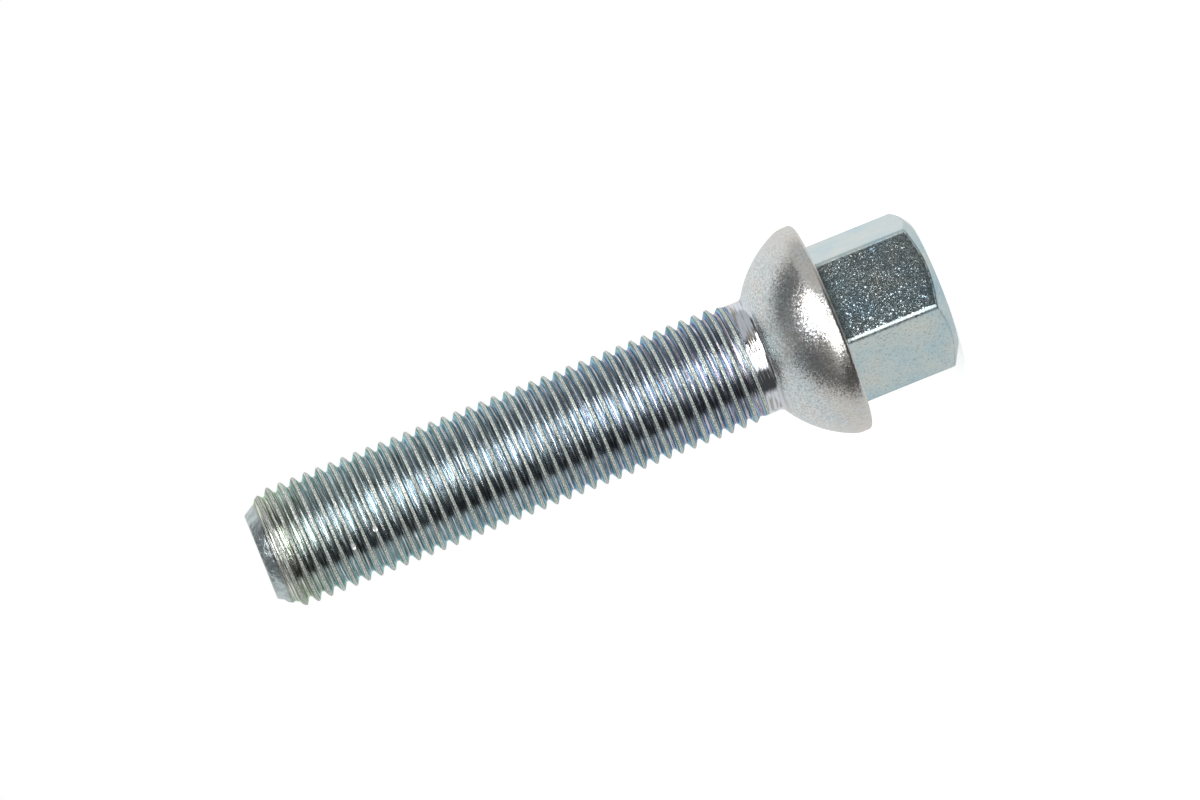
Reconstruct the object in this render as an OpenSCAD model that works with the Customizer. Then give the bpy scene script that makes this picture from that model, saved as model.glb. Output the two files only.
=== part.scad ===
// Wheel bolt with a ball seat and a 17 mm hexagon head, forged and thread-rolled as one piece of steel.
// It stands on the end of its head: the base of the head is at z = 0 and the threaded shank points up.

/* [Thread] */
// Diameter over the crests of the thread (M14 less its rolling tolerance)
thread_d = 13.85; // [12.5:0.05:16]
// Distance from one crest to the next
pitch = 1.5; // [1:0.25:2]
// Angle between the two flanks of a thread
flank_angle = 60; // [50:5:70]
// Width of the flat along each crest
crest_w = 0.27; // [0.1:0.01:0.4]
// Width of the flat at the root, between two flanks
root_w = 0.26; // [0.1:0.01:0.4]
// Threaded length, from the tip to the end of the run-out
thread_len = 58.3; // [20:0.1:59]
// Length over which the thread runs out beside the plain neck
runout_len = 2.2; // [1:0.1:4]
// Distance from the tip to the crest where the thread begins
thread_start = 0.65; // [0.4:0.05:1.5]
// Direction from the axis in which the thread begins
thread_start_angle = -66; // [-180:1:180]

/* [Shank] */
// Length of the shank, from the tip to the ball seat
shank_len = 60; // [30:0.5:90]
// Diameter of the plain neck, which is the size of the blank before rolling
neck_d = 13; // [12.4:0.05:15]
// Radius of the fillet between the neck and the ball seat
neck_fillet = 0.8; // [0.3:0.1:2]
// Diameter of the flat end of the tip
tip_d = 9.9; // [7:0.1:11.5]
// Angle of the tip's chamfer from the axis
tip_angle = 30; // [20:1:45]
// Height by which the first crests stand above the tip's chamfer
tip_lip = 0.3; // [0.1:0.05:0.6]

/* [Ball seat] */
// Radius of the ball that the seat is a part of
ball_r = 13; // [12.6:0.1:16]
// Diameter of the rim, the widest part of the bolt
rim_d = 24.4; // [21:0.1:25]
// Height of the seat and its rim together
seat_h = 8.4; // [8:0.1:12]
// Radius of the shoulder between the ball and the rim
shoulder_r = 3; // [1:0.1:5]
// Radius of the edge between the rim and its back face
back_edge_r = 0.5; // [0.2:0.1:1]

/* [Hexagon] */
// Width across the flats of the hexagon
hex_af = 16.8; // [14:0.05:19]
// Height of the hexagon, from the end of the head to the back of the rim
hex_h = 12.3; // [8:0.1:20]
// Diameter over the rounded corners of the hexagon
hex_corner_d = 19.1; // [18.2:0.05:19.3]
// Diameter of the flat end of the head, inside the chamfer
hex_end_d = 14.4; // [12:0.1:15.5]
// Angle of the head's chamfer from its end face
hex_chamfer_angle = 30; // [15:1:40]

/* [Hidden] */
$fn = 96;

// steps in one turn of the thread, and pieces in each rounded edge
turn_steps = 24;
arc_steps = 8;
// how far inside the neck the end of the thread's surface lies
tuck = 0.02;
// how far stacked forms reach into each other
overlap = 1;

seat_z = hex_h + seat_h;
tip_z = seat_z + shank_len;
neck_r = neck_d / 2;
rim_r = rim_d / 2;

// The flanks share what the two flats leave of one pitch, and their angle then gives the depth.
flank_w = (pitch - crest_w - root_w) / 2;
thread_depth = flank_w / tan(flank_angle / 2);
thread_r = thread_d / 2;
root_r = thread_r - thread_depth;

// The ball's centre puts its surface at the neck's radius where the shank begins.
ball_z = seat_z - sqrt(ball_r * ball_r - neck_r * neck_r);

// The fillet touches the neck and the ball.
fillet_r = neck_r + neck_fillet;
fillet_rise = sqrt(pow(ball_r + neck_fillet, 2) - pow(fillet_r, 2));
fillet_angle = atan2(fillet_rise, fillet_r);

// The shoulder touches the rim and the ball. On a rim that is as wide as the ball, or wider,
// it is the rounded edge of a flange, and it starts no lower than the back edge ends.
shoulder_mid_r = rim_r - shoulder_r;
shoulder_reach = sqrt(max(0, pow(ball_r - shoulder_r, 2) - pow(shoulder_mid_r, 2)));
shoulder_z = max(ball_z + shoulder_reach, hex_h + back_edge_r);
shoulder_angle = atan2(shoulder_z - ball_z, shoulder_mid_r);

// Points of an arc in the half plane that is turned about the axis, as [radius, height]
function arc(middle, r, from, to) =
    [for (i = [0:arc_steps])
        let (a = from + (to - from) * i / arc_steps)
        middle + r * [cos(a), sin(a)]];

function ease(t) = let (u = max(0, min(1, t))) u * u * (3 - 2 * u);
function mix(a, b, t) = a + (b - a) * t;

// The thread is one band wound round the shank. Each step has four points across one pitch:
// the foot and the top of the flank that faces the tip, then the top and the foot of the other.
// Distances along the thread are measured from the tip.
across = [-crest_w / 2 - flank_w, -crest_w / 2, crest_w / 2, crest_w / 2 + flank_w];
is_crest = [false, true, true, false];
last_step = ceil((thread_len - thread_start - across[0]) / pitch * turn_steps) + 1;

function tip_cone_r(x) = tip_d / 2 + x * tan(tip_angle);

// Radius of the band: full depth along the shank, cut back by the tip's chamfer with a lip
// that grows over the first half turn, and eased to the neck at the run-out
function band_r(x, crest, turns) =
    let (
        full = crest ? thread_r : root_r,
        tip = tip_cone_r(x) - tuck + tip_lip * ease(2 * turns),
        out = ease((x - thread_len + runout_len) / runout_len)
    )
    mix(min(full, tip), neck_r - tuck, out);

function band_point(step, k) =
    let (
        turns = step / turn_steps,
        x = thread_start + turns * pitch + across[k],
        a = thread_start_angle - 360 * turns,
        r = band_r(x, is_crest[k], turns)
    )
    [r * cos(a), r * sin(a), tip_z - x];

module thread_band() {
    rows = last_step + turn_steps;
    points = concat(
        [for (step = [0:rows], k = [0:3]) band_point(step, k)],
        [[0, 0, tip_z - thread_start - across[0]], [0, 0, tip_z - thread_len - pitch]]
    );
    tip_end = 4 * (rows + 1);
    neck_end = tip_end + 1;
    // the last point of a step is followed by the first point of the step one turn on
    function at(step, k) = k < 4 ? 4 * step + k : 4 * (step + turn_steps);
    side = [for (step = [0:last_step - 1], k = [0:3])
        let (a = at(step, k), b = at(step, k + 1), c = at(step + 1, k + 1), d = at(step + 1, k))
        each [[a, b, c], [a, c, d]]];
    tip_loop = concat(
        [for (k = [0:3]) at(0, k)],
        [for (step = [turn_steps:-1:1]) at(step, 0)]
    );
    neck_loop = concat(
        [for (step = [last_step:last_step + turn_steps]) at(step, 0)],
        [for (k = [3:-1:1]) at(last_step, k)]
    );
    tip_cap = [for (i = [0:len(tip_loop) - 1])
        [tip_end, tip_loop[(i + 1) % len(tip_loop)], tip_loop[i]]];
    neck_cap = [for (i = [0:len(neck_loop) - 1])
        [neck_end, neck_loop[(i + 1) % len(neck_loop)], neck_loop[i]]];
    polyhedron(points = points, faces = concat(side, tip_cap, neck_cap), convexity = 10);
}

// Flat end and chamfer, with a core that fills the first turns of the thread
module tip() {
    cone_h = (root_r - tuck - tip_d / 2) / tan(tip_angle);
    translate([0, 0, tip_z - cone_h])
        cylinder(r1 = root_r - tuck, r2 = tip_d / 2, h = cone_h);
}

// Plain neck with the fillet at its foot, and a root that reaches into the ball
module neck() {
    fillet_z = ball_z + fillet_rise;
    touch = [0, ball_z] + ball_r * [cos(fillet_angle), sin(fillet_angle)];
    rotate_extrude()
        polygon(concat(
            [[0, touch[1] - overlap], [touch[0] - overlap, touch[1] - overlap]],
            arc([fillet_r, fillet_z], neck_fillet, 180 + fillet_angle, 180),
            [[neck_r, tip_z - thread_len], [0, tip_z - thread_len]]
        ));
}

// The part of the ball between the shoulder and the fillet
module ball_zone() {
    low = ball_z + ball_r * sin(shoulder_angle);
    high = ball_z + ball_r * sin(fillet_angle);
    intersection() {
        translate([0, 0, ball_z]) sphere(r = ball_r);
        translate([0, 0, low]) cylinder(r = rim_r, h = high - low);
    }
}

// Rim with its rounded back edge below and its shoulder above, which goes on inside the ball
module rim() {
    rotate_extrude()
        polygon(concat(
            [[0, hex_h]],
            arc([rim_r - back_edge_r, hex_h + back_edge_r], back_edge_r, -90, 0),
            arc([shoulder_mid_r, shoulder_z], shoulder_r, 0, 90),
            [[0, shoulder_z + shoulder_r]]
        ));
}

// Hexagon inside the turned outline of its rounded corners and end chamfer, rooted in the rim
module hexagon() {
    corner_r = hex_corner_d / 2;
    end_r = hex_end_d / 2;
    root_z = hex_h + overlap;
    intersection() {
        cylinder(d = hex_af / cos(30), h = root_z, $fn = 6);
        rotate_extrude()
            polygon([
                [0, 0],
                [end_r, 0],
                [corner_r, (corner_r - end_r) * tan(hex_chamfer_angle)],
                [corner_r, root_z],
                [0, root_z]
            ]);
    }
}

module wheel_bolt() {
    color("#b9c2c7")
        union() {
            hexagon();
            rim();
            ball_zone();
            neck();
            thread_band();
            tip();
        }
}

wheel_bolt();
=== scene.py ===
import math

import bmesh
import bpy
from mathutils import Matrix, Vector


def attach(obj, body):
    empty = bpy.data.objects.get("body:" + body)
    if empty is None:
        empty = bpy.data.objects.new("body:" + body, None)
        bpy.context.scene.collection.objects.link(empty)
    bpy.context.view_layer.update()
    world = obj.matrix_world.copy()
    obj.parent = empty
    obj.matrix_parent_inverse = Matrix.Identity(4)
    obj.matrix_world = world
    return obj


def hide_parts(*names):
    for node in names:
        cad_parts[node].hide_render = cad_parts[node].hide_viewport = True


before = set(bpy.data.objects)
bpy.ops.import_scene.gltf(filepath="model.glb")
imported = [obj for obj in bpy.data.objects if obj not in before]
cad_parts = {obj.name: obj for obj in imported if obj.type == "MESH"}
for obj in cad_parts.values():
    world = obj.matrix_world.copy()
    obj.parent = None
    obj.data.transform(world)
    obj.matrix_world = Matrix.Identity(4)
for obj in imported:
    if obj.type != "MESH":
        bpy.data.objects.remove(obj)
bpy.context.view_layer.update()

# Sizes in millimetres, the same as the solid's. Depths are distances from the tip along the axis.
MM = 0.001
TIP_Z = 80.7

PITCH = 1.5
CREST_R = 13.85 / 2
CREST_W = 0.27
ROOT_W = 0.26
FLANK_ANGLE = math.radians(60)
THREAD_DEPTH = (PITCH - CREST_W - ROOT_W) / 2 / math.tan(FLANK_ANGLE / 2)
THREAD_LEN = 58.3
RUNOUT_LEN = 2.2
FIRST_CREST = 0.65
FIRST_CREST_ANGLE = math.radians(-66)
TIP_R = 9.9 / 2
TIP_ANGLE = math.radians(30)
TIP_LIP = 0.3

SHANK_LEN = 60
NECK_R = 13 / 2
NECK_FILLET = 0.8
BALL_R = 13
RIM_R = 24.4 / 2
SHOULDER_R = 3
BACK_EDGE_R = 0.5

HEX_AF = 16.8
HEX_H = 12.3
HEX_END_R = 14.4 / 2
HEX_CHAMFER = math.radians(30)

SEAT_Z = TIP_Z - SHANK_LEN
BALL_Z = SEAT_Z - math.sqrt(BALL_R ** 2 - NECK_R ** 2)

# Small roundings, and the depth of the seam along the crests
CREST_EDGE_R = 0.2
SEAM_DEPTH = 0.015
TIP_EDGE_R = 0.15
HEX_CORNER_R = 0.6
HEX_ROOT_R = 0.25
HEX_CREASE_R = 0.2

# Steps round the axis, and the depth of the ring where the tip and the thread meet
COLUMNS = 96
FIRST_RING = 0.4

# Directions at the bolt: up to the tip, out to the camera, and aside to the camera's upper left
CAMERA_SIDE = math.radians(-16)
UP = Vector((0, 0, 1))
OUT = Vector((math.sin(CAMERA_SIDE), -math.cos(CAMERA_SIDE), 0))
ASIDE = Vector((math.cos(CAMERA_SIDE), math.sin(CAMERA_SIDE), 0))

# Wear in millimetres. Each chip has its degrees round from ASIDE towards OUT, and its depth. Then come
# the radii where a chip is full and where it ends, the distances from the axis where the stain and
# the matt corners begin and are full, and the same for heights over the hexagon's chamfer.
CHIPS = (113, 9.85), (105, 12.72)
CHIP_R, CHIP_EDGE_R = 0.25, 0.42
STAIN_R, STAIN_FULL_R = 10.4, 12
MATT_CORNER_R, MATT_CORNER_FULL_R = 9.5, 9.54
MATT_CREASE, MATT_CREASE_FULL = 0.3, 0.15

# The film's colours by its thickness, seen straight on and at a low angle
FILM_TINTS = ((0.1, "#dfe2cf"), (0.3, "#dce2d6"), (0.42, "#c6d5da"), (0.54, "#b9c9d9"),
              (0.64, "#bcc0d8"), (0.72, "#cda8cc"), (0.88, "#ecdcc8"), (0.98, "#ece6dc"))
FILM_LOW_TINTS = ((0.1, "#f0f4d8"), (0.3, "#d8ecd4"), (0.42, "#b8e6e8"), (0.54, "#aed2f0"),
                  (0.64, "#b6bef0"), (0.72, "#e0a0d0"), (0.88, "#f8d4a8"), (0.98, "#fff4e4"))

# The camera in metres from the tip, with its roll, and its lens and sensor in millimetres
CAMERA_OUT, CAMERA_ASIDE = 0.8084, 0.0003
AIM_DOWN, AIM_ASIDE = 0.0414, 0.00205
CAMERA_ROLL = math.radians(22.07)
LENS, SENSOR = 218.7, 36

# The softbox: its direction, distance and size in metres, roll, and the strength at which it shows
KEY_PLACE = 72, 22.5
KEY_DISTANCE = 0.7
KEY_SIZE = Vector((0.46, 0.62))
KEY_ROLL = math.radians(22)
KEY_RADIANCE = 4

# The studio as the bolt's finish mirrors it, with 1 for white. The paper is lighter to the camera's
# upper left, and the dark room is lighter overhead. A patch has its direction, the cosines of the
# angle where it begins and is full, and its tone: a card beside the bolt, the glow under the
# softbox, and a dim card above. FILL is what matt surfaces get from all round.
PAPER_TONES = 0.7, 0.88
ROOM_TONES = 0.06, 0.45
ROOM = (80, 0), -0.14, 0.1
PATCHES = ((13, -10), 0.74, 0.82, 0.52), ((100, 3), 0.93, 0.99, 3.6), ((126, 25), 0.92, 0.985, 0.34)
FILL = 0.45


def direction(turn, rise):
    """A direction at the bolt: degrees round it from ASIDE towards the camera, and degrees up."""
    turn, rise = math.radians(turn), math.radians(rise)
    return (ASIDE * math.cos(turn) + OUT * math.sin(turn)) * math.cos(rise) + UP * math.sin(rise)


def colour(code):
    """A colour given as an sRGB hex value, in linear light."""
    parts = [int(code[i:i + 2], 16) / 255 for i in (1, 3, 5)]
    return [c / 12.92 if c <= 0.04045 else ((c + 0.055) / 1.055) ** 2.4 for c in parts] + [1]


def add(tree, kind, links=None, stops=(), **settings):
    """Adds a node. links gives its sockets, by name or number, a value or what another node gives.
    stops gives a ramp its places, all between 0 and 1, with their colours."""
    node = tree.nodes.new(kind)
    for name, value in settings.items():
        setattr(node, name, value)
    for key, value in (links or {}).items():
        if isinstance(key, int):
            socket = node.inputs[key]
        else:
            socket = next(s for s in node.inputs if s.name == key and s.enabled)
        if isinstance(value, bpy.types.Node):
            value = next(s for s in value.outputs if s.enabled)
        if isinstance(value, bpy.types.NodeSocket):
            tree.links.new(value, socket)
        else:
            socket.default_value = value
    if stops:
        elements = node.color_ramp.elements
        for place, code in stops:
            elements.new(place).color = colour(code)
        elements.remove(elements[0])
        elements.remove(elements[-1])
    return node


def arc(middle, r, start, end, steps):
    """Points of an arc, as (radius, height), with both ends."""
    turns = [start + (end - start) * i / steps for i in range(steps + 1)]
    return [(middle[0] + r * math.cos(a), middle[1] + r * math.sin(a)) for a in turns]


# Materials


def new_material(name):
    """A material with no nodes yet, and its tree."""
    material = bpy.data.materials.new(name)
    material.use_nodes = True
    material.node_tree.nodes.clear()
    return material, material.node_tree


def depth_and_angle(tree, spot):
    """A point's depth from the tip in millimetres, and its angle round the axis."""
    place = add(tree, "ShaderNodeSeparateXYZ", {0: spot})
    depth = add(tree, "ShaderNodeMath", {0: place.outputs["Z"], 1: -1 / MM, 2: TIP_Z},
                operation="MULTIPLY_ADD")
    angle = add(tree, "ShaderNodeMath", {0: place.outputs["Y"], 1: place.outputs["X"]}, operation="ARCTAN2")
    return depth, angle


def axis_distance(tree, spot):
    """A point's distance from the axis."""
    level = add(tree, "ShaderNodeVectorMath", {0: spot, 1: (1, 1, 0)}, operation="MULTIPLY")
    return add(tree, "ShaderNodeVectorMath", {0: level}, operation="LENGTH")


def helix_coordinates(tree, depth, angle):
    """A point's place on the wound thread: millimetres across one pitch from the middle of the crest,
    and millimetres along the winding."""
    part = add(tree, "ShaderNodeMath", {0: angle, 1: -1 / math.tau, 2: FIRST_CREST_ANGLE / math.tau},
               operation="MULTIPLY_ADD")
    turns = add(tree, "ShaderNodeMath", {0: depth, 1: 1 / PITCH, 2: -FIRST_CREST / PITCH},
                operation="MULTIPLY_ADD")
    rest = add(tree, "ShaderNodeMath", {0: turns, 1: part}, operation="SUBTRACT")
    whole = add(tree, "ShaderNodeMath", {0: rest}, operation="ROUND")
    off = add(tree, "ShaderNodeMath", {0: rest, 1: whole}, operation="SUBTRACT")
    across = add(tree, "ShaderNodeMath", {0: off, 1: PITCH}, operation="MULTIPLY")
    wound = add(tree, "ShaderNodeMath", {0: whole, 1: part}, operation="ADD")
    along = add(tree, "ShaderNodeMath", {0: wound, 1: math.tau * NECK_R}, operation="MULTIPLY")
    return across, along


def rolled_thread_plate():
    """Zinc plate with a clear passivate on a rolled thread. The dies burnished the flanks, which
    mirror the studio in fine streaks, and the film's interference colours on them run from straw
    at the tip over teal to blue and purple. The crests, where the metal flowed together, are matt
    and gritty with a seam, and the tip's chamfer is matt and mottled."""
    material, tree = new_material("Zinc plate on rolled thread")
    spot = add(tree, "ShaderNodeTexCoord").outputs["Object"]
    depth, angle = depth_and_angle(tree, spot)
    across, along = helix_coordinates(tree, depth, angle)
    aside = add(tree, "ShaderNodeMath", {0: across}, operation="ABSOLUTE")

    # The tip's end and chamfer are plain, and the thread begins below them.
    whole = add(tree, "ShaderNodeMapRange", {"Value": depth, "From Min": 1.2, "From Max": 1.6})
    cut = add(tree, "ShaderNodeMath", {0: 1, 1: whole}, operation="SUBTRACT")

    # Rolling marks lie along the thread. The real ones are about 0.05 mm apart, which is too fine to
    # show, so these are about 0.12 mm apart.
    slow = add(tree, "ShaderNodeMath", {0: along, 1: 0.02}, operation="MULTIPLY")
    marks_at = add(tree, "ShaderNodeCombineXYZ", {"X": across, "Y": slow})
    marks = add(tree, "ShaderNodeTexNoise", {"Vector": marks_at, "Scale": 8, "Detail": 2, "Roughness": 0.6})
    marks = add(tree, "ShaderNodeMath", {0: marks, 1: whole}, operation="MULTIPLY")

    # Clouds in the film are 1.4 mm across, grit on the crests 0.14 mm, and dents in the chamfer 0.7 mm.
    wound = add(tree, "ShaderNodeCombineXYZ", {"X": across, "Y": along})
    cloud = add(tree, "ShaderNodeTexNoise", {"Vector": wound, "Scale": 0.7, "Detail": 3})
    grit = add(tree, "ShaderNodeTexNoise", {"Vector": wound, "Scale": 7, "Detail": 3})
    dents = add(tree, "ShaderNodeTexNoise", {"Vector": spot, "Scale": 1.5 / MM, "Detail": 4})

    # The film grows thicker towards the head, and most of all at the root.
    rootward = add(tree, "ShaderNodeMath", {0: aside, 1: 2 / PITCH}, operation="MULTIPLY")
    rootward = add(tree, "ShaderNodeMath", {0: rootward, 1: 3}, operation="POWER")
    growth = add(tree, "ShaderNodeMath", {0: depth, 1: 0.007, 2: 0.04}, operation="MULTIPLY_ADD")
    film = add(tree, "ShaderNodeMapRange", {"Value": depth, "From Min": 1.5, "From Max": 7,
                                            "To Min": 0.09, "To Max": 0.2})
    for cause, share in (depth, 0.0012), (rootward, growth), (cloud, 0.14), (marks, 0.2):
        film = add(tree, "ShaderNodeMath", {0: cause, 1: share, 2: film}, operation="MULTIPLY_ADD")
    tints = add(tree, "ShaderNodeValToRGB", {"Fac": film}, stops=FILM_TINTS)
    low_tints = add(tree, "ShaderNodeValToRGB", {"Fac": film}, stops=FILM_LOW_TINTS)

    # The dies meet the metal at the root first, and leave a bare bright line there.
    bare = add(tree, "ShaderNodeMapRange", {"Value": aside, "From Min": 0.56, "From Max": 0.68})
    part_way = add(tree, "ShaderNodeMath", {0: depth, 1: THREAD_LEN}, operation="DIVIDE")
    line = add(tree, "ShaderNodeValToRGB", {"Fac": part_way}, stops=((0.2, "#f0f0ec"), (0.9, "#f2ebe4")))
    tints = add(tree, "ShaderNodeMix", {"Factor": bare, "A": tints, "B": line}, data_type="RGBA")
    low_tints = add(tree, "ShaderNodeMix", {"Factor": bare, "A": low_tints, "B": colour("#eae8e2")},
                    data_type="RGBA")

    # The marks streak the flanks, and the flanks are painted darker beside the crest: painted shade for the
    # dark that the flanks mirror there.
    streak_and_painted_shade = add(tree, "ShaderNodeMapRange", {"Value": marks, "From Min": 0.43, "From Max": 0.58,
                                              "To Min": 0.45, "To Max": 1.28})
    crest_side_painted_shade = add(tree, "ShaderNodeMapRange", {"Value": aside, "From Min": 0.2, "From Max": 0.36,
                                             "To Min": 0.5})
    streak_and_painted_shade = add(tree, "ShaderNodeMath", {0: streak_and_painted_shade, 1: crest_side_painted_shade}, operation="MULTIPLY")
    streaked_and_painted_shade = add(tree, "ShaderNodeVectorMath", {0: tints, "Scale": streak_and_painted_shade}, operation="SCALE")
    mottled = add(tree, "ShaderNodeValToRGB", {"Fac": dents}, stops=((0.42, "#b6c1c2"), (0.54, "#ccd9da")))
    base = add(tree, "ShaderNodeMix", {"Factor": whole, "A": mottled, "B": streaked_and_painted_shade}, data_type="RGBA")

    # The crests have grit and a dark seam, and are duller near the tip.
    crest = add(tree, "ShaderNodeMapRange", {"Value": aside, "From Min": 0.2, "From Max": 0.15})
    crest = add(tree, "ShaderNodeMath", {0: crest, 1: whole}, operation="MULTIPLY")
    beads = add(tree, "ShaderNodeMapRange", {"Value": grit, "From Min": 0.44, "From Max": 0.6})
    gritty = add(tree, "ShaderNodeMix", {"Factor": beads, "A": colour("#fbfff8"), "B": colour("#8e968d")},
                 data_type="RGBA")
    seam = add(tree, "ShaderNodeMapRange", {"Value": aside, "From Min": 0.05, "From Max": 0.015})
    seam = add(tree, "ShaderNodeMath", {0: seam, 1: 0.35}, operation="MULTIPLY")
    gritty = add(tree, "ShaderNodeMix", {"Factor": seam, "A": gritty, "B": colour("#4a4640")},
                 data_type="RGBA")
    worn = add(tree, "ShaderNodeMapRange", {"Value": depth, "From Min": 1.6, "From Max": 5, "To Min": 0.65})
    gritty = add(tree, "ShaderNodeVectorMath", {0: gritty, "Scale": worn}, operation="SCALE")
    base = add(tree, "ShaderNodeMix", {"Factor": crest, "A": base, "B": gritty}, data_type="RGBA")

    # Small chips in the crests are bright and matt.
    chip = 0
    for turn, down in CHIPS:
        place = direction(turn, 0) * CREST_R + UP * (TIP_Z - down)
        far = add(tree, "ShaderNodeVectorMath", {0: spot, 1: place * MM}, operation="DISTANCE")
        near = add(tree, "ShaderNodeMapRange", {"Value": far, "From Min": CHIP_EDGE_R * MM,
                                                "From Max": CHIP_R * MM})
        chip = add(tree, "ShaderNodeMath", {0: near, 1: chip}, operation="MAXIMUM")
    base = add(tree, "ShaderNodeMix", {"Factor": chip, "A": base, "B": colour("#f6f6f2")}, data_type="RGBA")
    crest = add(tree, "ShaderNodeMath", {0: crest, 1: chip}, operation="MAXIMUM")

    # The film colours only the flanks at a low angle. The grit on the crests scatters some light.
    flank = add(tree, "ShaderNodeMath", {0: 1, 1: crest}, operation="SUBTRACT")
    flank = add(tree, "ShaderNodeMath", {0: flank, 1: whole}, operation="MULTIPLY")
    low_tints = add(tree, "ShaderNodeMix", {"Factor": flank, "A": colour("#ffffff"), "B": low_tints},
                    data_type="RGBA")
    metal = add(tree, "ShaderNodeMapRange", {"Value": crest, "To Min": 1, "To Max": 0.65})
    smooth = add(tree, "ShaderNodeMapRange", {"Value": marks, "From Min": 0.4, "From Max": 0.64,
                                              "To Min": 0.05, "To Max": 0.16})
    matt = add(tree, "ShaderNodeMath", {0: cut, 1: 0.9, 2: crest}, operation="MULTIPLY_ADD")
    rough = add(tree, "ShaderNodeMapRange", {"Value": matt, "To Min": smooth, "To Max": 0.33})

    # Towards the crest the flanks round off, so that they look up and down past the softbox.
    lean = add(tree, "ShaderNodeMapRange", {"Value": aside, "From Min": 0.5, "From Max": 0.3,
                                            "To Max": 0.5})
    side = add(tree, "ShaderNodeMath", {0: across}, operation="SIGN")
    lean = add(tree, "ShaderNodeMath", {0: lean, 1: side}, operation="MULTIPLY")
    lean = add(tree, "ShaderNodeMath", {0: lean, 1: flank}, operation="MULTIPLY")
    lean = add(tree, "ShaderNodeCombineXYZ", {"Z": lean})
    normal = add(tree, "ShaderNodeNewGeometry").outputs["Normal"]
    leaning = add(tree, "ShaderNodeVectorMath", {0: lean, 1: normal})
    leaning = add(tree, "ShaderNodeVectorMath", {0: leaning}, operation="NORMALIZE")

    # Grit, marks and the chamfer's dents stand out, and the chips are sunk.
    dents = add(tree, "ShaderNodeMath", {0: cut, 1: dents}, operation="MULTIPLY")
    height = add(tree, "ShaderNodeMath", {0: grit, 1: crest}, operation="MULTIPLY")
    for cause, share in (marks, 3.2), (dents, 2.5), (chip, -3):
        height = add(tree, "ShaderNodeMath", {0: cause, 1: share, 2: height}, operation="MULTIPLY_ADD")
    bump = add(tree, "ShaderNodeBump", {"Height": height, "Strength": 1, "Distance": 0.05 * MM,
                                        "Normal": leaning})
    shader = add(tree, "ShaderNodeBsdfPrincipled", {"Base Color": base, "Specular Tint": low_tints,
                                                    "Metallic": metal, "Roughness": rough, "Normal": bump})
    add(tree, "ShaderNodeOutputMaterial", {"Surface": shader})
    return material


def tilted_grain(tree, spot, size, tilt):
    """The normal with a random tilt in each grain of the plate, for grains of that size. The real
    grain is too fine to show, so each of these stands for many."""
    cells = add(tree, "ShaderNodeTexVoronoi", {"Vector": spot, "Scale": 1 / size})
    lean = add(tree, "ShaderNodeVectorMath", {0: cells.outputs["Color"], 1: (0.5, 0.5, 0.5)},
               operation="SUBTRACT")
    normal = add(tree, "ShaderNodeNewGeometry").outputs["Normal"]
    leaning = add(tree, "ShaderNodeVectorMath", {0: lean, 1: tilt, 2: normal}, operation="MULTIPLY_ADD")
    return add(tree, "ShaderNodeVectorMath", {0: leaning}, operation="NORMALIZE")


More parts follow.
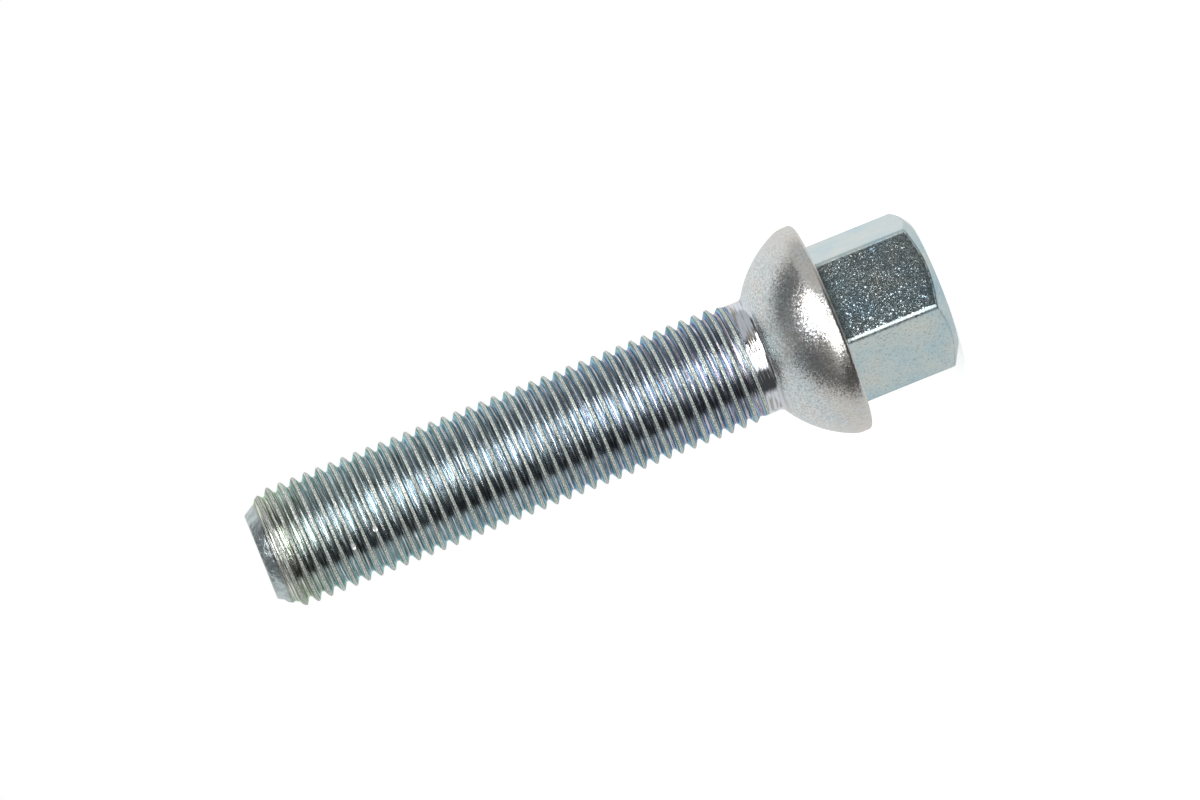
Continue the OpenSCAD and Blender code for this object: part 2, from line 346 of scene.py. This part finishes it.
def turned_seat_plate():
    """Zinc plate on the cold-formed neck, ball seat and rim. The neck is drawn smooth, in rings that
    are a little darker and rougher. The ball has a fine even grain and specks from the die, and
    towards the rim the plate is stained a little brown."""
    material, tree = new_material("Zinc plate on formed ball seat")
    spot = add(tree, "ShaderNodeTexCoord").outputs["Object"]
    depth, angle = depth_and_angle(tree, spot)
    on_ball = add(tree, "ShaderNodeMapRange", {"Value": depth, "From Min": SHANK_LEN - 0.4,
                                               "From Max": SHANK_LEN + 1})

    # The ball's grain is 0.25 mm with facets of 0.12 mm, and the plate has clouds of about 3 mm.
    grain = add(tree, "ShaderNodeTexNoise", {"Vector": spot, "Scale": 4 / MM, "Detail": 2})
    cloud = add(tree, "ShaderNodeTexNoise", {"Vector": spot, "Scale": 0.35 / MM, "Detail": 4})
    tints = add(tree, "ShaderNodeValToRGB", {"Fac": cloud}, stops=((0.3, "#e2eff4"), (0.7, "#eef0ef")))
    clean = add(tree, "ShaderNodeMapRange", {"Value": grain, "From Min": 0.35, "From Max": 0.6})
    on_neck = add(tree, "ShaderNodeMath", {0: 1, 1: on_ball}, operation="SUBTRACT")
    clean = add(tree, "ShaderNodeMath", {0: clean, 1: on_neck}, operation="MAXIMUM")
    specks = add(tree, "ShaderNodeMix", {"Factor": clean, "A": colour("#d8d4ce"), "B": colour("#ffffff")},
                 data_type="RGBA")
    base = add(tree, "ShaderNodeVectorMath", {0: tints, 1: specks}, operation="MULTIPLY")

    stain = add(tree, "ShaderNodeMapRange", {"Value": axis_distance(tree, spot), "From Min": STAIN_R * MM,
                                             "From Max": STAIN_FULL_R * MM})
    stain = add(tree, "ShaderNodeMath", {0: stain, 1: cloud}, operation="MULTIPLY")
    base = add(tree, "ShaderNodeMix", {"Factor": stain, "A": base, "B": colour("#dcd5cc")},
               data_type="RGBA")

    # The dies left shallow rings on the neck, about 0.3 mm apart.
    slow = add(tree, "ShaderNodeMath", {0: angle, 1: 0.5}, operation="MULTIPLY")
    rings_at = add(tree, "ShaderNodeCombineXYZ", {"X": depth, "Y": slow})
    rings = add(tree, "ShaderNodeTexNoise", {"Vector": rings_at, "Scale": 3, "Detail": 3})
    drawn = add(tree, "ShaderNodeValToRGB", {"Fac": rings}, stops=(
        (0.42, "#cac2ba"), (0.48, "#f2f0f7"), (0.56, "#fbf9ff")))
    drawn = add(tree, "ShaderNodeMix", {"Factor": on_ball, "A": drawn, "B": colour("#ffffff")},
                data_type="RGBA")
    base = add(tree, "ShaderNodeVectorMath", {0: base, 1: drawn}, operation="MULTIPLY")
    smooth = add(tree, "ShaderNodeMapRange", {"Value": rings, "From Min": 0.4, "From Max": 0.6,
                                              "To Min": 0.2, "To Max": 0.08})
    rough = add(tree, "ShaderNodeMapRange", {"Value": on_ball, "To Min": smooth, "To Max": 0.28})

    rings = add(tree, "ShaderNodeMath", {0: rings, 1: 9}, operation="MULTIPLY")
    height = add(tree, "ShaderNodeMix", {"Factor": on_ball, "A": rings, "B": grain})
    tilt = add(tree, "ShaderNodeMath", {0: on_ball, 1: 0.15}, operation="MULTIPLY")
    bump = add(tree, "ShaderNodeBump", {"Height": height, "Strength": 0.5, "Distance": 0.02 * MM,
                                        "Normal": tilted_grain(tree, spot, 0.12 * MM, tilt)})
    shader = add(tree, "ShaderNodeBsdfPrincipled", {"Base Color": base, "Metallic": 1,
                                                    "Roughness": rough, "Normal": bump})
    add(tree, "ShaderNodeOutputMaterial", {"Surface": shader})
    return material


def forged_hexagon_plate():
    """Zinc plate on the forged hexagon: coarse spangle that sparkles on the flats, in faint clouds of
    blue and straw. The corners and the end's chamfer are knocked matt."""
    material, tree = new_material("Zinc plate on forged hexagon")
    spot = add(tree, "ShaderNodeTexCoord").outputs["Object"]

    # The forging's grain is 0.33 mm, the spangle 0.13 mm, and the clouds about 4 mm.
    grain = add(tree, "ShaderNodeTexNoise", {"Vector": spot, "Scale": 3 / MM, "Detail": 2})
    spangle = tilted_grain(tree, spot, 0.13 * MM, (0.085, 0.085, 0.085))
    cloud = add(tree, "ShaderNodeTexNoise", {"Vector": spot, "Scale": 0.25 / MM, "Detail": 4})
    tints = add(tree, "ShaderNodeValToRGB", {"Fac": cloud}, stops=(
        (0.3, "#bbd8e2"), (0.5, "#ccdee1"), (0.7, "#dbe3de")))
    bump = add(tree, "ShaderNodeBump", {"Height": grain, "Strength": 0.5, "Distance": 0.02 * MM,
                                        "Normal": spangle})

    # The chamfer is a cone, and a point's height over that cone says how near it is.
    radius = axis_distance(tree, spot)
    corner = add(tree, "ShaderNodeMapRange", {"Value": radius, "From Min": MATT_CORNER_R * MM,
                                              "From Max": MATT_CORNER_FULL_R * MM})
    slope = math.tan(HEX_CHAMFER)
    over = add(tree, "ShaderNodeMath", {0: radius, 1: -slope, 2: HEX_END_R * slope * MM},
               operation="MULTIPLY_ADD")
    place = add(tree, "ShaderNodeSeparateXYZ", {0: spot})
    over = add(tree, "ShaderNodeMath", {0: over, 1: place.outputs["Z"]}, operation="ADD")
    chamfer = add(tree, "ShaderNodeMapRange", {"Value": over, "From Min": MATT_CREASE * MM,
                                               "From Max": MATT_CREASE_FULL * MM})
    matt = add(tree, "ShaderNodeMath", {0: corner, 1: chamfer}, operation="MAXIMUM")
    matt = add(tree, "ShaderNodeMath", {0: matt, 1: grain}, operation="MULTIPLY")
    rough = add(tree, "ShaderNodeMapRange", {"Value": matt, "From Min": 0.2, "From Max": 0.55,
                                             "To Min": 0.14, "To Max": 0.45})
    shader = add(tree, "ShaderNodeBsdfPrincipled", {"Base Color": tints, "Metallic": 1,
                                                    "Roughness": rough, "Normal": bump})
    add(tree, "ShaderNodeOutputMaterial", {"Surface": shader})
    return material


def studio_paper():
    """Matt white paper, which the camera sees a little brighter than the light makes it."""
    material, tree = new_material("White paper")
    paper = add(tree, "ShaderNodeBsdfDiffuse", {"Color": colour("#e6e6e6")})
    glow = add(tree, "ShaderNodeEmission", {"Color": colour("#ffffff"), "Strength": 0.65})
    dark = add(tree, "ShaderNodeEmission", {"Strength": 0})
    camera_ray = add(tree, "ShaderNodeLightPath").outputs["Is Camera Ray"]
    extra = add(tree, "ShaderNodeMixShader", {0: camera_ray, 1: dark, 2: glow})
    shader = add(tree, "ShaderNodeAddShader", {0: paper, 1: extra})
    add(tree, "ShaderNodeOutputMaterial", {"Surface": shader})
    return material


# Thread


def pitch_profile():
    """One pitch of the thread as a chain of vertices, from root to root: X is the distance across
    from the middle of the crest, and Z the height above it. The crest has a shallow seam."""
    slant = FLANK_ANGLE / 2
    root_r = (PITCH / 2 - CREST_W / 2) / math.tan(slant) - THREAD_DEPTH
    root_middle = root_r - THREAD_DEPTH
    root = [(PITCH / 2 - a, h) for a, h in arc((0, root_middle), root_r, -slant, -math.pi / 2, 3)]
    edge_middle = CREST_W / 2 - CREST_EDGE_R * math.tan(slant)
    edge = arc((edge_middle, -CREST_EDGE_R), CREST_EDGE_R, math.pi / 2, slant, 4)
    flank = [tuple(a + (b - a) * t for a, b in zip(edge[-1], root[0])) for t in (0.08, 0.92)]
    half = [(0, -SEAM_DEPTH)] + edge + flank + root
    points = [(-x, z) for x, z in reversed(half[1:])] + half
    mesh = bpy.data.meshes.new("pitch_profile")
    mesh.from_pydata([(x * MM, 0, z * MM) for x, z in points],
                     [(i, i + 1) for i in range(len(points) - 1)], [])
    return bpy.data.objects.new("pitch_profile", mesh)


def thread_winder():
    """Geometry Nodes that wind the profile of one pitch round the axis. A grid has a row for each
    point of the profile and a column for each step round, and a turn ends one pitch further on, where
    it meets the next. The tip's chamfer cuts the first turns, and the last ones run out to the neck."""
    tree = bpy.data.node_groups.new("Thread winder", "GeometryNodeTree")
    tree.interface.new_socket("Profile", in_out="INPUT", socket_type="NodeSocketGeometry")
    for name, kind in (("Turns", "Int"), ("Steps a turn", "Int"), ("Pitch", "Float"),
                       ("Crest radius", "Float"), ("Root radius", "Float"), ("First crest", "Float"),
                       ("First crest angle", "Float"), ("Tip height", "Float"), ("Tip radius", "Float"),
                       ("Tip angle", "Float"), ("Tip lip", "Float"), ("Neck radius", "Float"),
                       ("Run-out start", "Float"), ("Run-out end", "Float"), ("First ring", "Float"),
                       ("Material", "Material")):
        tree.interface.new_socket(name, in_out="INPUT", socket_type="NodeSocket" + kind)
    tree.interface.new_socket("Thread", in_out="OUTPUT", socket_type="NodeSocketGeometry")
    size = add(tree, "NodeGroupInput").outputs

    points = add(tree, "GeometryNodeAttributeDomainSize", {0: size["Profile"]}).outputs["Point Count"]
    per_turn = add(tree, "FunctionNodeIntegerMath", {0: points, 1: 1}, operation="SUBTRACT")
    rows = add(tree, "FunctionNodeIntegerMath", {0: per_turn, 1: size["Turns"], 2: 1},
               operation="MULTIPLY_ADD")
    columns = add(tree, "FunctionNodeIntegerMath", {0: size["Steps a turn"], 1: 1}, operation="ADD")
    grid = add(tree, "GeometryNodeMeshGrid", {"Vertices X": columns, "Vertices Y": rows})
    index = add(tree, "GeometryNodeInputIndex")
    column = add(tree, "FunctionNodeIntegerMath", {0: index, 1: rows}, operation="DIVIDE_FLOOR")
    row = add(tree, "FunctionNodeIntegerMath", {0: index, 1: rows}, operation="MODULO")
    place = add(tree, "FunctionNodeIntegerMath", {0: row, 1: per_turn}, operation="MODULO")
    whole = add(tree, "FunctionNodeIntegerMath", {0: row, 1: per_turn}, operation="DIVIDE_FLOOR")
    spot = add(tree, "GeometryNodeSampleIndex", {
        "Geometry": size["Profile"], "Index": place,
        "Value": add(tree, "GeometryNodeInputPosition")}, data_type="FLOAT_VECTOR")
    spot = add(tree, "ShaderNodeSeparateXYZ", {0: spot}).outputs

    # Turns are counted from the first crest. The grid starts a turn before it.
    round_part = add(tree, "ShaderNodeMath", {0: column, 1: size["Steps a turn"]}, operation="DIVIDE")
    offset = add(tree, "ShaderNodeMath", {0: size["First crest angle"], 1: 1 / math.tau, 2: -1},
                 operation="MULTIPLY_ADD")
    turns = add(tree, "ShaderNodeMath", {0: whole, 1: round_part}, operation="ADD")
    turns = add(tree, "ShaderNodeMath", {0: turns, 1: offset}, operation="ADD")
    depth = add(tree, "ShaderNodeMath", {0: turns, 1: size["Pitch"], 2: size["First crest"]},
                operation="MULTIPLY_ADD")
    depth = add(tree, "ShaderNodeMath", {0: depth, 1: spot["X"]}, operation="ADD")
    depth = add(tree, "ShaderNodeClamp", {"Value": depth, "Min": size["First ring"],
                                          "Max": size["Run-out end"]})

    # The chamfer is a cone, and over its first half turn the crest grows to a low lip on it.
    slope = add(tree, "ShaderNodeMath", {0: size["Tip angle"]}, operation="TANGENT")
    chamfer = add(tree, "ShaderNodeMath", {0: depth, 1: slope, 2: size["Tip radius"]},
                  operation="MULTIPLY_ADD")
    growth = add(tree, "ShaderNodeMapRange", {"Value": turns, "From Max": 0.5},
                 interpolation_type="SMOOTHSTEP")
    groove = add(tree, "ShaderNodeMath", {0: size["Root radius"], 1: size["Crest radius"]},
                 operation="SUBTRACT")
    down = add(tree, "ShaderNodeMath", {0: spot["Z"], 1: groove}, operation="DIVIDE")
    raised = add(tree, "ShaderNodeMapRange", {"Value": down, "From Min": 0.6, "From Max": 0.2})
    growth = add(tree, "ShaderNodeMath", {0: growth, 1: raised}, operation="MULTIPLY")
    lip = add(tree, "ShaderNodeMath", {0: growth, 1: size["Tip lip"], 2: chamfer},
              operation="MULTIPLY_ADD")

    full = add(tree, "ShaderNodeMath", {0: size["Crest radius"], 1: spot["Z"]}, operation="ADD")
    cut = add(tree, "ShaderNodeMath", {0: full, 1: lip}, operation="MINIMUM")
    core = add(tree, "ShaderNodeMath", {0: chamfer, 1: size["Root radius"]}, operation="MINIMUM")
    cut = add(tree, "ShaderNodeMath", {0: cut, 1: core}, operation="MAXIMUM")
    fade = add(tree, "ShaderNodeMapRange", {"Value": depth, "From Min": size["Run-out start"],
                                            "From Max": size["Run-out end"]},
               interpolation_type="SMOOTHSTEP")
    radius = add(tree, "ShaderNodeMix", {"Factor": fade, "A": cut, "B": size["Neck radius"]})

    angle = add(tree, "ShaderNodeMath", {0: round_part, 1: -math.tau}, operation="MULTIPLY")
    cosine = add(tree, "ShaderNodeMath", {0: angle}, operation="COSINE")
    sine = add(tree, "ShaderNodeMath", {0: angle}, operation="SINE")
    position = add(tree, "ShaderNodeCombineXYZ", {
        "X": add(tree, "ShaderNodeMath", {0: radius, 1: cosine}, operation="MULTIPLY"),
        "Y": add(tree, "ShaderNodeMath", {0: radius, 1: sine}, operation="MULTIPLY"),
        "Z": add(tree, "ShaderNodeMath", {0: size["Tip height"], 1: depth}, operation="SUBTRACT")})
    wound = add(tree, "GeometryNodeSetPosition", {"Geometry": grid, "Position": position})
    closed = add(tree, "GeometryNodeMergeByDistance", {"Geometry": wound, "Distance": 0.001 * MM})
    real = add(tree, "GeometryNodeRealizeInstances", {0: closed})
    done = add(tree, "GeometryNodeSetMaterial", {"Geometry": real, "Material": size["Material"]})
    add(tree, "NodeGroupOutput", {0: done})
    return tree


def rolled_thread(material):
    """The thread's surface as a plain mesh, open at a ring on the tip's chamfer and one at the neck."""
    profile = pitch_profile()
    bpy.context.collection.objects.link(profile)
    winder = profile.modifiers.new("winder", "NODES")
    winder.node_group = thread_winder()
    turns = math.ceil((THREAD_LEN - FIRST_CREST) / PITCH) + 3
    values = {"Turns": turns, "Steps a turn": COLUMNS, "Pitch": PITCH * MM, "Crest radius": CREST_R * MM,
              "Root radius": (CREST_R - THREAD_DEPTH) * MM, "First crest": FIRST_CREST * MM,
              "First crest angle": FIRST_CREST_ANGLE, "Tip height": TIP_Z * MM, "Tip radius": TIP_R * MM,
              "Tip angle": TIP_ANGLE, "Tip lip": TIP_LIP * MM, "Neck radius": NECK_R * MM,
              "Run-out start": (THREAD_LEN - RUNOUT_LEN) * MM, "Run-out end": THREAD_LEN * MM,
              "First ring": FIRST_RING * MM, "Material": material}
    for item in winder.node_group.interface.items_tree:
        if item.in_out == "INPUT" and item.name in values:
            winder[item.identifier] = values[item.name]
    found = profile.evaluated_get(bpy.context.evaluated_depsgraph_get())
    mesh = bpy.data.meshes.new_from_object(found)
    bpy.data.objects.remove(profile)
    return mesh


# Turned surfaces and hexagon


def turned_ring(shape, radius, height):
    """A ring of vertices round the axis, or one vertex on it."""
    if radius == 0:
        return [shape.verts.new((0, 0, height * MM))]
    turns = [-math.tau * i / COLUMNS for i in range(COLUMNS)]
    return [shape.verts.new((radius * MM * math.cos(a), radius * MM * math.sin(a), height * MM))
            for a in turns]


def hexagon_outline():
    """Points and outward directions round the hexagon, as many as a turned ring has. Each corner is
    an arc, each flat has a point close to both its ends, and the outline starts in mid-corner."""
    per_side, corner_steps = COLUMNS // 6, 6
    flat_steps = per_side - corner_steps
    reach = (HEX_AF / 2 - HEX_CORNER_R) / math.cos(math.radians(30))
    outline = []
    for side in range(6):
        corner = -math.radians(60 * side)
        middle = Vector((math.cos(corner), math.sin(corner))) * reach
        for step in range(-corner_steps // 2, corner_steps // 2 + 1):
            a = corner - math.radians(30) * step / (corner_steps / 2)
            out = Vector((math.cos(a), math.sin(a)))
            outline.append((middle + out * HEX_CORNER_R, out))
        after = corner - math.radians(60)
        start = outline[-1]
        end = Vector((math.cos(after), math.sin(after))) * reach + start[1] * HEX_CORNER_R
        for step in range(flat_steps - 1):
            t = 0.02 + 0.96 * step / (flat_steps - 2)
            outline.append((start[0].lerp(end, t), start[1]))
    half = corner_steps // 2
    return outline[half:] + outline[:half]


def skin(shape, rings, material_index):
    """Faces between each ring and the next, from the tip to the head."""
    for upper, lower in zip(rings, rings[1:]):
        for i in range(COLUMNS):
            j = (i + 1) % COLUMNS
            corners = [upper[i % len(upper)], upper[j % len(upper)],
                       lower[j % len(lower)], lower[i % len(lower)]]
            face = shape.faces.new(list(dict.fromkeys(corners)))
            face.material_index = material_index


def bend(before, corner, after, steps):
    """Points of a rounded corner, from before to after."""
    points = []
    for i in range(steps + 1):
        t = i / steps
        points.append(before.lerp(corner, t).lerp(corner.lerp(after, t), t))
    return points


def tip_rings(shape):
    """The flat end, its edge and the start of the chamfer."""
    along = Vector((math.sin(TIP_ANGLE), -math.cos(TIP_ANGLE))) * TIP_EDGE_R
    corner = Vector((TIP_R, TIP_Z))
    edge = bend(Vector((TIP_R - TIP_EDGE_R, TIP_Z)), corner, corner + along, 4)
    flat = [(r, TIP_Z) for r in (0, 1, 2, 3, 4, 4.6)]
    last = (TIP_R + FIRST_RING * math.tan(TIP_ANGLE), TIP_Z - FIRST_RING)
    return [turned_ring(shape, r, z) for r, z in flat + [tuple(p) for p in edge] + [last]]


def seat_rings(shape):
    """Neck, fillet, ball, shoulder and rim, down to the rim's back face. The rim's wall has a ring
    close to each of its ends, which keeps its shading straight."""
    fillet_r = NECK_R + NECK_FILLET
    fillet_rise = math.sqrt((BALL_R + NECK_FILLET) ** 2 - fillet_r ** 2)
    fillet_angle = math.atan2(fillet_rise, fillet_r)
    shoulder_r = RIM_R - SHOULDER_R
    shoulder_rise = math.sqrt((BALL_R - SHOULDER_R) ** 2 - shoulder_r ** 2)
    shoulder_angle = math.atan2(shoulder_rise, shoulder_r)
    fillet_z, top = BALL_Z + fillet_rise, TIP_Z - THREAD_LEN
    neck = [(NECK_R, top + (fillet_z - top) * i / 4) for i in range(4)]
    fillet = arc((fillet_r, fillet_z), NECK_FILLET, math.pi, math.pi + fillet_angle, 8)
    ball = arc((0, BALL_Z), BALL_R, fillet_angle, shoulder_angle, 28)
    shoulder = arc((shoulder_r, BALL_Z + shoulder_rise), SHOULDER_R, shoulder_angle, 0, 8)
    edge = arc((RIM_R - BACK_EDGE_R, HEX_H + BACK_EDGE_R), BACK_EDGE_R, 0, -math.pi / 2, 6)
    wall = [(RIM_R, shoulder[-1][1] - 0.1), (RIM_R, edge[0][1] + 0.1)]
    return [turned_ring(shape, r, z) for r, z in neck + fillet + ball[1:] + shoulder[1:] + wall + edge]


def hexagon_rings(shape, back_ring):
    """The rest of the rim's back face, the hexagon, its chamfer and its flat end. Flat faces have a
    ring close to each edge, which keeps their shading flat."""
    outline = hexagon_outline()
    root = arc((HEX_ROOT_R, HEX_H - HEX_ROOT_R), HEX_ROOT_R, math.pi / 2, math.pi, 4)
    foot, *root_rings = [[shape.verts.new((*((p + out * d) * MM), z * MM)) for p, out in outline]
                         for d, z in root]
    rings = [[shape.verts.new(a.co.lerp(b.co, t)) for a, b in zip(back_ring, foot)]
             for t in (0.03, 0.3, 0.65)]
    rings += [foot, *root_rings]

    columns = []
    for point, out in outline:
        radius = point.length
        crease = Vector((radius, (radius - HEX_END_R) * math.tan(HEX_CHAMFER)))
        inward = Vector((-math.cos(HEX_CHAMFER), -math.sin(HEX_CHAMFER))) * HEX_CREASE_R
        top = Vector((radius, root[-1][1]))
        rounded = bend(crease + Vector((0, HEX_CREASE_R)), crease, crease + inward, 4)
        wall = [top.lerp(rounded[0], i / 12) for i in range(1, 12)]
        corner = Vector((HEX_END_R, 0))
        edge = bend(corner - inward, corner, corner - Vector((HEX_CREASE_R, 0)), 4)
        cone = [rounded[-1].lerp(edge[0], t) for t in (0.1, 0.5, 0.9)]
        flat = [Vector((r, 0)) for r in (6.5, 5, 3.5, 2, 0.8)]
        columns.append((point / radius, wall + rounded + cone + edge + flat))
    for level in range(len(columns[0][1])):
        rings.append([shape.verts.new((*(way * line[level][0] * MM), line[level][1] * MM))
                      for way, line in columns])
    rings.append([shape.verts.new((0, 0, 0))])
    return rings


def wheel_bolt():
    """The bolt as one closed skin: wound thread, turned tip and seat, and hexagon."""
    materials = [rolled_thread_plate(), turned_seat_plate(), forged_hexagon_plate()]
    shape = bmesh.new()
    shape.from_mesh(rolled_thread(materials[0]))
    for face in shape.faces:
        face.material_index = 0
    skin(shape, tip_rings(shape), 0)
    seat = seat_rings(shape)
    skin(shape, seat, 1)
    skin(shape, [seat[-1]] + hexagon_rings(shape, seat[-1]), 2)
    bmesh.ops.remove_doubles(shape, verts=shape.verts, dist=0.001 * MM)
    bmesh.ops.recalc_face_normals(shape, faces=shape.faces)
    for face in shape.faces:
        face.smooth = True
    mesh = bpy.data.meshes.new("bolt")
    shape.to_mesh(mesh)
    shape.free()
    for material in materials:
        mesh.materials.append(material)
    piece = bpy.data.objects.new("bolt", mesh)
    bpy.context.collection.objects.link(piece)
    return piece


# Studio


def facing(across, up, back):
    """The turn that gives an object these directions for its own X, Y and Z."""
    return Matrix((across, up, back)).transposed()


def picture_camera():
    """The camera, level with the tip, and rolled so that the bolt lies across the picture."""
    tip = UP * (TIP_Z * MM)
    eye = tip + OUT * CAMERA_OUT + ASIDE * CAMERA_ASIDE
    aim = tip - UP * AIM_DOWN + ASIDE * AIM_ASIDE
    back = (eye - aim).normalized()
    upward = ASIDE * math.cos(CAMERA_ROLL) - UP * math.sin(CAMERA_ROLL)
    right = upward.cross(back).normalized()
    camera = bpy.data.objects.new("camera", bpy.data.cameras.new("camera"))
    camera.data.sensor_width = SENSOR
    camera.data.lens = LENS
    camera.matrix_world = Matrix.Translation(eye) @ facing(right, back.cross(right), back).to_4x4()
    bpy.context.collection.objects.link(camera)
    return camera


def paper_floor():
    """White paper under the bolt. The finish mirrors the studio's paper in its place."""
    mesh = bpy.data.meshes.new("floor")
    mesh.from_pydata([(-3, -3, 0), (3, -3, 0), (3, 3, 0), (-3, 3, 0)], [], [(0, 1, 2, 3)])
    mesh.materials.append(studio_paper())
    sheet = bpy.data.objects.new("floor", mesh)
    bpy.context.collection.objects.link(sheet)
    sheet.visible_glossy = False
    return sheet


def softbox():
    """One tall softbox, whose lower edge stands a little below the bolt's neck. A lamp's power is
    four times its area times the strength at which it shows."""
    key = bpy.data.objects.new("softbox", bpy.data.lights.new("softbox", "AREA"))
    key.data.shape = "RECTANGLE"
    key.data.color = colour("#fdfcff")[:3]
    key.data.size, key.data.size_y = KEY_SIZE
    key.data.energy = 4 * KEY_SIZE.x * KEY_SIZE.y * KEY_RADIANCE
    away = direction(*KEY_PLACE)
    across = (UP * math.cos(KEY_ROLL) + ASIDE * math.sin(KEY_ROLL)).cross(away).normalized()
    key.location = UP * (SEAT_Z * MM) + away * KEY_DISTANCE
    key.rotation_mode = "QUATERNION"
    key.rotation_quaternion = facing(across, away.cross(across), away).to_quaternion()
    bpy.context.collection.objects.link(key)


def studio():
    """What lights the bolt from all round. In its mirror finish lie white paper behind and under it,
    the dark room in front, which is lighter overhead, and the patches."""
    world = bpy.data.worlds.new("studio")
    world.use_nodes = True
    tree = world.node_tree
    tree.nodes.clear()
    toward = add(tree, "ShaderNodeTexCoord").outputs["Generated"]
    height = add(tree, "ShaderNodeSeparateXYZ", {0: toward}).outputs["Z"]
    level = add(tree, "ShaderNodeVectorMath", {0: toward, 1: (1, 1, 0)}, operation="MULTIPLY")
    level = add(tree, "ShaderNodeVectorMath", {0: level}, operation="NORMALIZE")

    def patch(seen, middle, begin, full):
        """1 near a direction and 0 away from it, between two cosines of the angle from it."""
        near = add(tree, "ShaderNodeVectorMath", {0: seen, 1: direction(*middle)}, operation="DOT_PRODUCT")
        return add(tree, "ShaderNodeMapRange", {"Value": near, "From Min": begin, "From Max": full},
                   interpolation_type="SMOOTHSTEP")

    paper = add(tree, "ShaderNodeVectorMath", {0: toward, 1: ASIDE}, operation="DOT_PRODUCT")
    paper = add(tree, "ShaderNodeMapRange", {"Value": paper, "From Min": -1,
                                             "To Min": PAPER_TONES[0], "To Max": PAPER_TONES[1]})
    overhead = add(tree, "ShaderNodeMapRange", {"Value": height, "From Min": 0.93,
                                                "To Min": ROOM_TONES[0], "To Max": ROOM_TONES[1]})
    tone = add(tree, "ShaderNodeMapRange", {"Value": patch(level, *ROOM), "To Min": paper,
                                            "To Max": overhead})
    for middle, begin, full, bright in PATCHES:
        tone = add(tree, "ShaderNodeMapRange", {"Value": patch(toward, middle, begin, full),
                                                "To Min": tone, "To Max": bright})

    path = add(tree, "ShaderNodeLightPath")
    white = colour("#ffffff")
    plain = add(tree, "ShaderNodeBackground", {"Color": white, "Strength": FILL})
    mirrored = add(tree, "ShaderNodeBackground", {"Color": white, "Strength": tone})
    seen = add(tree, "ShaderNodeBackground", {"Color": white, "Strength": 1})
    light = add(tree, "ShaderNodeMixShader", {0: path.outputs["Is Glossy Ray"], 1: plain, 2: mirrored})
    light = add(tree, "ShaderNodeMixShader", {0: path.outputs["Is Camera Ray"], 1: light, 2: seen})
    add(tree, "ShaderNodeOutputWorld", {"Surface": light})
    return world


bolt = wheel_bolt()
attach(bolt, "root")
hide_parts("wheel_bolt")

bpy.context.scene.camera = picture_camera()
floor = paper_floor()
softbox()
bpy.context.scene.world = studio()
bpy.context.scene.view_settings.view_transform = "Standard"
